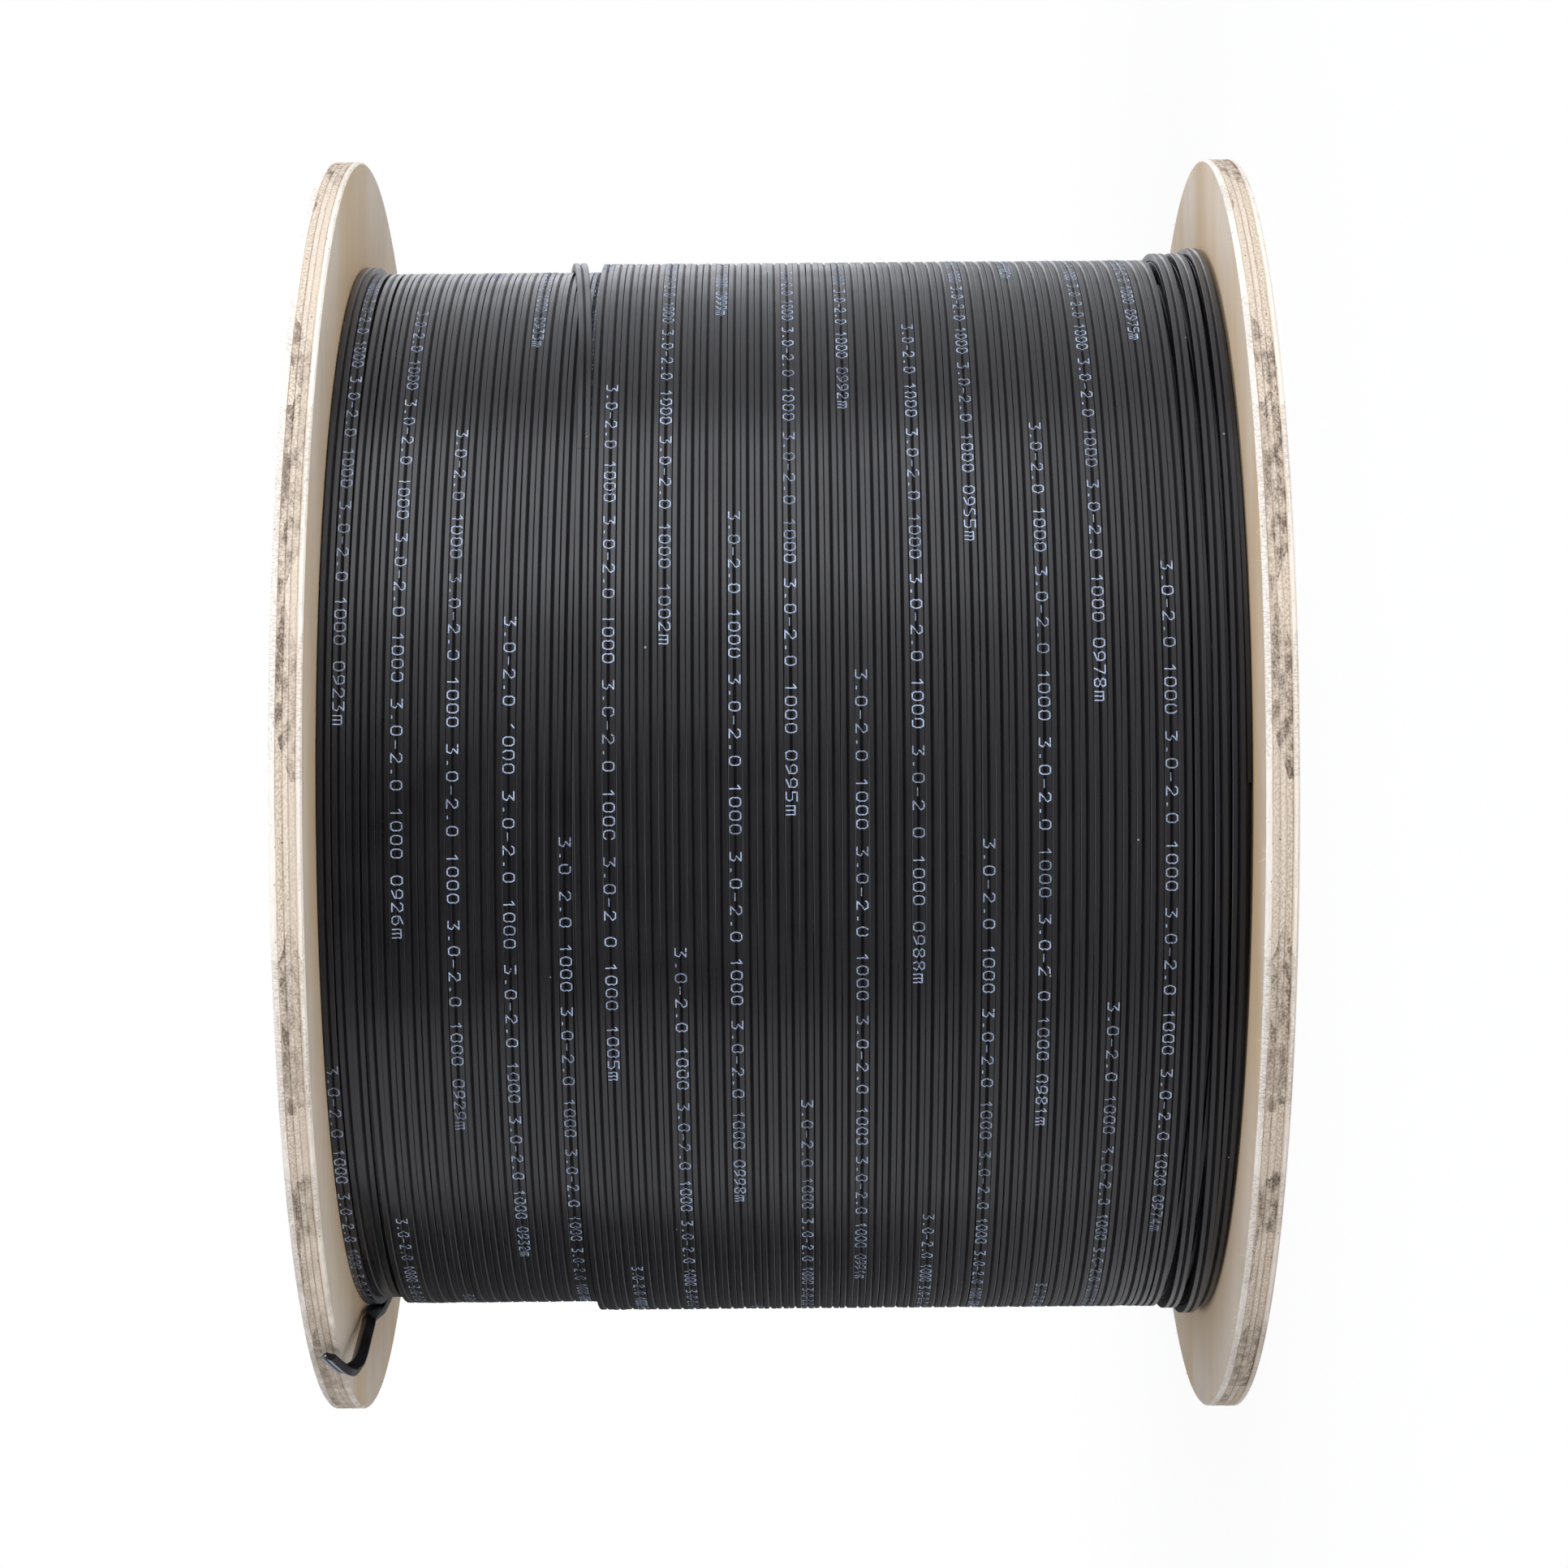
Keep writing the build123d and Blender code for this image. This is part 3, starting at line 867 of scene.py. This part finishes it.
def print_piece(name, points, outward, marks, ink, seed):
    """All the marks on one cable as thin raised strokes that follow its path."""
    rng = random.Random(seed)
    travel = travelled(points) / MM
    strokes = []
    for end, metre in marks:
        strokes += mark_strokes(LEGEND + f"{metre:04d}m", end, rng)
    near, far = PRINT_MARGIN, travel[-1] - PRINT_MARGIN
    strokes = [s for s in strokes if min(s[0], s[2]) > near and max(s[0], s[2]) < far]
    # the four corners of each stroke, then the keel that holds it in the jacket
    places, across, lifts = [], [], []
    half = STROKE_WIDTH / 2
    for s0, w0, s1, w1 in strokes:
        length = math.hypot(s1 - s0, w1 - w0)
        ds, dw = (s1 - s0) / length, (w1 - w0) / length
        for s, w, push in ((s0, w0, -STROKE_OVERLAP), (s1, w1, STROKE_OVERLAP)):
            for side in (-1, 1):
                places.append(s + half * (push * ds - side * dw))
                across.append(w + half * (push * dw + side * ds))
                lifts.append(jacket_height(w) + INK_LIFT)
        for s, w in ((s0, w0), (s1, w1)):
            places.append(s)
            across.append(w)
            lifts.append(jacket_height(w) - INK_KEEL)
    centre = interpolated(places, travel, points)
    facing = interpolated(places, travel, outward)
    upward = np.array([0.0, 0.0, 1.0])
    verts = centre + (upward * np.array(across)[:, None] + facing * np.array(lifts)[:, None]) * MM
    faces = []
    for base in range(0, len(verts), 6):
        a, b, c, d, e, f = range(base, base + 6)
        faces += [(a, b, d, c), (a, e, b), (c, d, f), (a, c, f, e), (b, e, f, d)]
    piece = mesh_object(name, verts, faces=faces, materials=[ink])
    face_outwards(piece)
    return piece


def face_outwards(piece):
    """Turns every closed shell of a piece so that its faces look out."""
    work = bmesh.new()
    work.from_mesh(piece.data)
    bmesh.ops.recalc_face_normals(work, faces=work.faces)
    work.to_mesh(piece.data)
    work.free()


def metre_marks(angles, heights, points, known_angle, known_height, known_metre):
    """Where each metre's mark ends along a layer, from one mark whose place is known."""
    travel = travelled(points) / MM
    off = np.abs((angles - known_angle + 180) % 360 - 180)
    candidates = np.where(off < 2.0)[0]
    nearest = candidates[np.argmin(np.abs(heights[candidates] - known_height))]
    known = travel[nearest]
    first = math.ceil(-known / METRE_MARK_SPACING)
    last = math.floor((travel[-1] - known) / METRE_MARK_SPACING)
    return [
        (known + step * METRE_MARK_SPACING, known_metre + step) for step in range(first, last + 1)
    ]


# -------- flanges

RIM_STEPS = 480
PLY_EDGES = [0.0, 1.45, 2.9, 4.15, 5.6, 7.0]
ARBOR_BEVEL = 0.35
RIM_BEVEL = 0.3
HOLE_STEPS = 32


def flange_rings(lower):
    """The flange's half section as closed (radius, height, is rim) points, outwards first."""
    t = FLANGE_THICKNESS
    groove_in = BARREL_RADIUS - BARREL_WALL - GROOVE_CLEARANCE
    groove_out = BARREL_RADIUS + GROOVE_CLEARANCE
    outside = [(ARBOR_RADIUS, ARBOR_BEVEL, True), (ARBOR_RADIUS + ARBOR_BEVEL, 0, False)]
    outside += [(100, 0, False), (146, 0, False), (FLANGE_RADIUS - 0.55, 0.0, True)]
    rim = [(FLANGE_RADIUS - 0.12, RIM_BEVEL, True)]
    for first, second in zip(PLY_EDGES, PLY_EDGES[1:]):
        low = max(first, RIM_BEVEL) + 0.12
        high = min(second, t - RIM_BEVEL) - 0.12
        for share in (0.0, 0.5, 1.0):
            rim.append((FLANGE_RADIUS - 0.05, low + (high - low) * share, True))
        if second < t:
            rim.append((FLANGE_RADIUS - 0.22, second, True))
    rim.append((FLANGE_RADIUS - 0.12, t - RIM_BEVEL, True))
    inside = [(FLANGE_RADIUS - 0.55, t, True), (146, t, False), (100, t, False)]
    inside += [(groove_out, t, False), (groove_out, t - GROOVE_DEPTH, False)]
    inside += [(groove_in, t - GROOVE_DEPTH, False), (groove_in, t, False)]
    inside += [(ARBOR_RADIUS + ARBOR_BEVEL, t, False), (ARBOR_RADIUS, t - ARBOR_BEVEL, True)]
    rings = outside + rim + inside
    if lower:
        return rings
    return [(r, t - z, is_rim) for r, z, is_rim in reversed(rings)]


def make_flange(name, base, lower, materials, seed):
    """A plywood board whose rim shows its plies, with its holes cut."""
    rng = np.random.default_rng(seed)
    rings = flange_rings(lower)
    turn = np.arange(RIM_STEPS) / RIM_STEPS * math.tau
    verts, kinds = [], []
    for index, (radius, height, is_rim) in enumerate(rings):
        reach = np.full(RIM_STEPS, float(radius))
        if radius > FLANGE_RADIUS - 0.5:
            # saw marks and crushed fibres, up to 0.15 mm deep and different in every ply
            rough = rng.uniform(-1, 1, RIM_STEPS)
            knots = np.arange(0, RIM_STEPS + 12, 12)
            waves = np.interp(np.arange(RIM_STEPS), knots, rng.uniform(-1, 1, len(knots)))
            reach += -0.05 + 0.035 * rough + 0.05 * waves
            reach = np.minimum(reach, FLANGE_RADIUS)
        heights = np.full(RIM_STEPS, base + height)
        if 0 < height < FLANGE_THICKNESS and radius > 140:
            heights += 0.05 * rng.uniform(-1, 1, RIM_STEPS)
        verts += list(zip(reach * np.cos(turn) * MM, reach * np.sin(turn) * MM, heights * MM))
        on_rim = is_rim and rings[(index + 1) % len(rings)][2]
        kinds += [1 if on_rim else 0] * RIM_STEPS
    faces = ring_faces(len(rings), RIM_STEPS)
    board = mesh_object(name, verts, faces=faces, materials=materials)
    board.data.polygons.foreach_set("material_index", kinds)
    board.data.update()
    cut_holes(board, base, lower, materials)
    soften(board, 30)
    return board


def hole_list(lower):
    """A flange's holes as (distance, degrees, radius, depth), deep from the face below."""
    whole = FLANGE_THICKNESS + 1
    kinds = [(BOLT_HOLE_RADIUS, whole)]
    if lower:
        kinds = [(NUT_HOLE_RADIUS, whole), (NUT_SEAT_RADIUS, NUT_SEAT_DEPTH)]
    turns = (45, 135, 225, 315)
    holes = [(BOLT_CIRCLE_RADIUS, degrees, *kind) for degrees in turns for kind in kinds]
    if not lower:
        holes.append((START_HOLE_PLACE, START_HOLE_ANGLE, START_HOLE_RADIUS, whole))
    return holes


def cut_holes(board, base, lower, materials):
    """Cuts the tie bolts' holes, the nuts' seats and the hole for the cable's inner end."""
    faces = ring_faces(2, HOLE_STEPS, capped=True)
    for distance, degrees, radius, depth in hole_list(lower):
        turn = math.radians(degrees)
        middle = (distance * math.cos(turn), distance * math.sin(turn))
        verts = ring_points(((radius, base - 1.0), (radius, base + depth)), HOLE_STEPS, middle)
        cutter = mesh_object("cutter", verts, faces=faces, materials=materials)
        cutter.data.polygons.foreach_set("material_index", [1] * HOLE_STEPS + [0, 0])
        modifier = board.modifiers.new("hole", "BOOLEAN")
        modifier.operation = "DIFFERENCE"
        modifier.solver = "EXACT"
        modifier.object = cutter
        result = evaluated_mesh(board)
        board.modifiers.remove(modifier)
        old = board.data
        board.data = result
        bpy.data.meshes.remove(old)
        bpy.data.objects.remove(cutter)
    board.data.name = board.name


# -------- winding core

# (radius, height): under the turns, and thinner towards the upper flange where a layer is missing
CORE_SECTION = [
    (75.3, 7.05), (122.0, 7.05), (122.0, 21.0), (123.6, 23.5), (123.6, 142.0), (121.6, 146.0),
    (121.6, 206.6), (75.3, 206.6),
]
WINDING_STEPS = 160


def turned_solid(name, section, material):
    """A closed half section of (radius, height) points turned about the reel's axis."""
    verts = ring_points(section, WINDING_STEPS)
    faces = ring_faces(len(section), WINDING_STEPS)
    return mesh_object(name, verts, faces=faces, materials=[material])


# -------- splinters

SPLINTER_PLACES = 300
SPLINTER_INSET = 1.9  # the longest ones then end at the rim


def splinter_tree():
    """Short fibres that the saw left standing along a rim's edge."""
    inputs = {"Edge": "Geometry", "Longest": "Float", "Thickness": "Float"}
    inputs |= {"Share Kept": "Float", "Seed": "Int", "Wood": "Material"}
    tree, given = new_tree("splinters along an edge", "Splinters", inputs)
    seed = given["Seed"]
    inputs = {"Probability": given["Share Kept"], "Seed": seed}
    kept = add_node(tree, "FunctionNodeRandomValue", inputs, data_type="BOOLEAN").outputs[3]
    inputs = {"Vertices": 4, "Radius Top": 0.0, "Radius Bottom": 0.5, "Depth": 1.0}
    spike = add_node(tree, "GeometryNodeMeshCone", inputs).outputs[0]
    inputs = {"Min": (-1.5, -1.5, 0.0), "Max": (1.5, 1.5, 6.28), "Seed": seed}
    tilt = add_node(tree, "FunctionNodeRandomValue", inputs, data_type="FLOAT_VECTOR").outputs[0]
    inputs = {"Min": 0.0002, "Max": given["Longest"], "Seed": seed}
    length = add_node(tree, "FunctionNodeRandomValue", inputs, data_type="FLOAT").outputs[1]
    inputs = {"X": given["Thickness"], "Y": given["Thickness"], "Z": length}
    size = add_node(tree, "ShaderNodeCombineXYZ", inputs).outputs[0]
    inputs = {
        "Points": given["Edge"],
        "Selection": kept,
        "Instance": spike,
        "Rotation": tilt,
        "Scale": size,
    }
    placed = add_node(tree, "GeometryNodeInstanceOnPoints", inputs).outputs[0]
    return end_tree(tree, placed, given["Wood"])


def edge_points(name, height, seed):
    """Random places along a flange's inner edge."""
    turns = np.random.default_rng(seed).uniform(0, math.tau, SPLINTER_PLACES)
    radius = FLANGE_RADIUS - SPLINTER_INSET
    return mesh_object(
        name,
        [(radius * math.cos(a) * MM, radius * math.sin(a) * MM, height * MM) for a in turns],
    )


# -------- stage


def make_floor():
    """A pale floor that stays white to the camera and keeps a soft shadow."""
    size = 4.0
    corners = [(-size, -size, 0), (size, -size, 0), (size, size, 0), (-size, size, 0)]
    material = bpy.data.materials.new("pale studio floor")
    floor = mesh_object("floor", corners, faces=[(0, 1, 2, 3)], materials=[material])
    floor.location.z = -0.0002
    material.use_nodes = True
    tree = material.node_tree
    tree.nodes.clear()
    path = add_node(tree, "ShaderNodeLightPath").outputs
    place = add_node(tree, "ShaderNodeTexCoord").outputs["Object"]
    # the cable's sheen sees a dark floor below and behind the reel, as in the photograph, where
    # the winding's lower edge stays black
    axes = split_axes(tree, place)
    below = ramp(tree, axes["X"], 0.1, -0.1)
    behind = ramp(tree, axes["Y"], 0.15, 0.45)
    corner = maths(tree, "MULTIPLY", below, behind)
    sheen_below = maths(tree, "MULTIPLY", path["Is Glossy Ray"], corner)
    tone = blend(tree, sheen_below, FLOOR_COLOUR, "5c5c5c")
    paper = add_node(tree, "ShaderNodeBsdfDiffuse", {"Color": tone}).outputs[0]
    white = add_node(tree, "ShaderNodeEmission", {"Strength": 1.0}).outputs[0]
    sheen = maths(tree, "MULTIPLY", path["Is Glossy Ray"], 0.1)
    seen = maths(tree, "MAXIMUM", path["Is Camera Ray"], sheen)
    through_glass = maths(tree, "MAXIMUM", seen, path["Is Transmission Ray"])
    # the shadow shows near the reel only, and fades out 0.7 m away from it
    fade = ramp(tree, distance_from_origin(tree, place), 0.22, 0.7, 0.92, 1.0)
    share = maths(tree, "MULTIPLY", through_glass, fade)
    both = shader_mix(tree, share, paper, white)
    add_node(tree, "ShaderNodeOutputMaterial", {0: both})


def make_world():
    """White behind the reel, and a dimmer room on the photographer's side."""
    world = bpy.data.worlds.new("studio")
    bpy.context.scene.world = world
    world.use_nodes = True
    tree = world.node_tree
    tree.nodes.clear()
    axes = split_axes(tree, add_node(tree, "ShaderNodeTexCoord").outputs["Generated"])

    def background(tone, strength):
        inputs = {"Color": colour(tone), "Strength": strength}
        return add_node(tree, "ShaderNodeBackground", inputs).outputs[0]

    # what gloss shows: a white backdrop above and behind, and a dark room elsewhere
    backdrop = ramp(tree, axes["Y"], -0.35, 0.25, 0.04, 1.2)
    bright_middle = ramp(tree, axes["Y"], 0.6, 0.9, 0.0, 0.9)
    above = ramp(tree, axes["X"], 0.0, 0.35, 0.04, 1.0)
    level = maths(tree, "MULTIPLY", maths(tree, "ADD", backdrop, bright_middle), above)
    room = background(LAMP_COLOUR, level)
    # what lights it evenly: brighter from above than from below
    even = background(LAMP_COLOUR, ramp(tree, axes["X"], -0.6, 0.5, 0.15, 1.05))
    white = background("ffffff", 1.0)
    path = add_node(tree, "ShaderNodeLightPath").outputs
    lit = shader_mix(tree, path["Is Diffuse Ray"], room, even)
    both = shader_mix(tree, path["Is Camera Ray"], lit, white)
    add_node(tree, "ShaderNodeOutputWorld", {0: both})


def softbox(name, direction, distance, width, height, radiance, lift=0.0):
    """A soft lamp of a given radiance, facing the reel. Its height runs along the reel's axis."""
    data = bpy.data.lights.new(name, "AREA")
    data.shape = "RECTANGLE"
    data.size = width
    data.size_y = height
    data.energy = radiance * math.pi * width * height
    data.color = colour(LAMP_COLOUR)[:3]
    target = Vector((0, 0, MIDDLE_HEIGHT * MM))
    place = target + Vector(direction).normalized() * distance + Vector((0, 0, lift))
    back = (place - target).normalized()
    side = Vector((0, 0, 1)).cross(back).normalized()
    matrix = Matrix((side, back.cross(side), back)).transposed().to_4x4()
    matrix.translation = place
    new_object(name, data).matrix_world = matrix


def make_lights():
    softbox("upper softbox", (0.85, -0.53, 0.0), 1.25, 0.95, 0.95, 3.8, lift=0.05)
    softbox("front panel", (0.44, -0.90, 0.0), 1.6, 0.8, 0.9, 1.2, lift=0.1)
    softbox("lower softbox", (-0.95, -0.31, 0.0), 1.1, 1.0, 0.80, 1.25, lift=0.1)
    softbox("side softbox", (-0.15, -0.68, 0.75), 1.5, 1.0, 0.9, 2.9)


# -------- making


def dress_node(name, material):
    """Gives a CAD node whose shape is right its material."""
    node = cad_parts[name]
    if not node.material_slots:
        node.data.materials.append(material)
    for slot in node.material_slots:
        slot.material = material


def settle(piece, slot, *replaced):
    """Says which body a piece rides on and the CAD node that it replaces. The slot is not used."""
    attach(piece, "root")
    if replaced:
        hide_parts(*replaced)


def make_cable(jacket):
    """The cable: its free end, both layers with their print, and what shows between the turns."""
    ink, fibre, tree = print_ink(), core_fibre(), strand_tree()
    section = section_object()
    values = {"Section": section, "Section Scale": 1.0, "Jacket": jacket}

    end, core, end_points, end_length = make_cable_end(fibre, tree, values)
    settle(end, "cable_jacket", "cable_end")
    settle(core, "cable_jacket")

    def wind(name, angles, heights, radii):
        """Winds a strand, and gives its path."""
        points, outward = wound_path(angles, heights, radii)
        strand = run_tree(path_object(points, outward), tree, values, name)
        soften(strand)
        settle(strand, "cable_jacket")
        return points, outward

    for label, layer in LAYERS.items():
        angles, heights, radii = layer_path(layer, layer["last"])
        points, outward = wind(f"{label}_layer_turns", angles, heights, radii)
        marks = metre_marks(angles, heights, points, *layer["known_mark"])
        marks = [mark for mark in marks if mark[0] > layer["bare"]]
        name = f"{label}_layer_print"
        settle(print_piece(name, points, outward, marks, ink, layer["seed"]), "cable_jacket")

    angles = np.linspace(DEEP_KEYS[0][0], DEEP_KEYS[-1][0], DEEP_POINTS)
    wind("deep_turns", angles, through(DEEP_KEYS, 1, angles), through(DEEP_KEYS, 2, angles))
    # what carries the turns that are piled up beside the lower flange
    angles, heights, radii = layer_path(LAYERS["top"], TOP_FIRST_REGULAR)
    wind("piled_turns_support", angles, heights, radii - SUPPORT_DEPTH)
    bpy.data.objects.remove(section)

    winding = turned_solid("winding_core", CORE_SECTION, jacket)
    soften(winding)
    settle(winding, "cable_jacket", "cable_coil")


def make_boards():
    """Both flanges, and the splinters on their inner edges."""
    face = plywood_face()
    lower_rim = plywood_rim(0.0, "sawn plywood edge, lower", 1.0, 0.7, 0.2)
    upper_rim = plywood_rim(UPPER_FACE, "sawn plywood edge, upper", 0.4, 1.0, 0.55)
    lower = make_flange("lower_board", 0.0, True, (face, lower_rim), 21)
    settle(lower, "plywood", "lower_flange")
    upper = make_flange("upper_board", UPPER_FACE, False, (face, upper_rim), 22)
    settle(upper, "plywood", "upper_flange")
    tree = splinter_tree()
    for name, height, seed in (("lower_splinters", 6.9, 31), ("upper_splinters", 207.1, 32)):
        values = {"Longest": 0.0023, "Thickness": 0.00016, "Share Kept": 0.6}
        values |= {"Seed": seed, "Wood": face}
        settle(run_tree(edge_points(name, height, seed), tree, values, name), "plywood")


make_camera()
make_cable(cable_jacket())
make_boards()
dress_node("barrel_tube", kraft_cardboard())
steel = zinc_steel()
for number in range(1, 5):
    for kind in ("tie_bolt", "bolt_washer", "tee_nut"):
        dress_node(f"{kind}_{number}", steel)
make_floor()
make_world()
make_lights()

bpy.context.scene.view_settings.view_transform = "Standard"
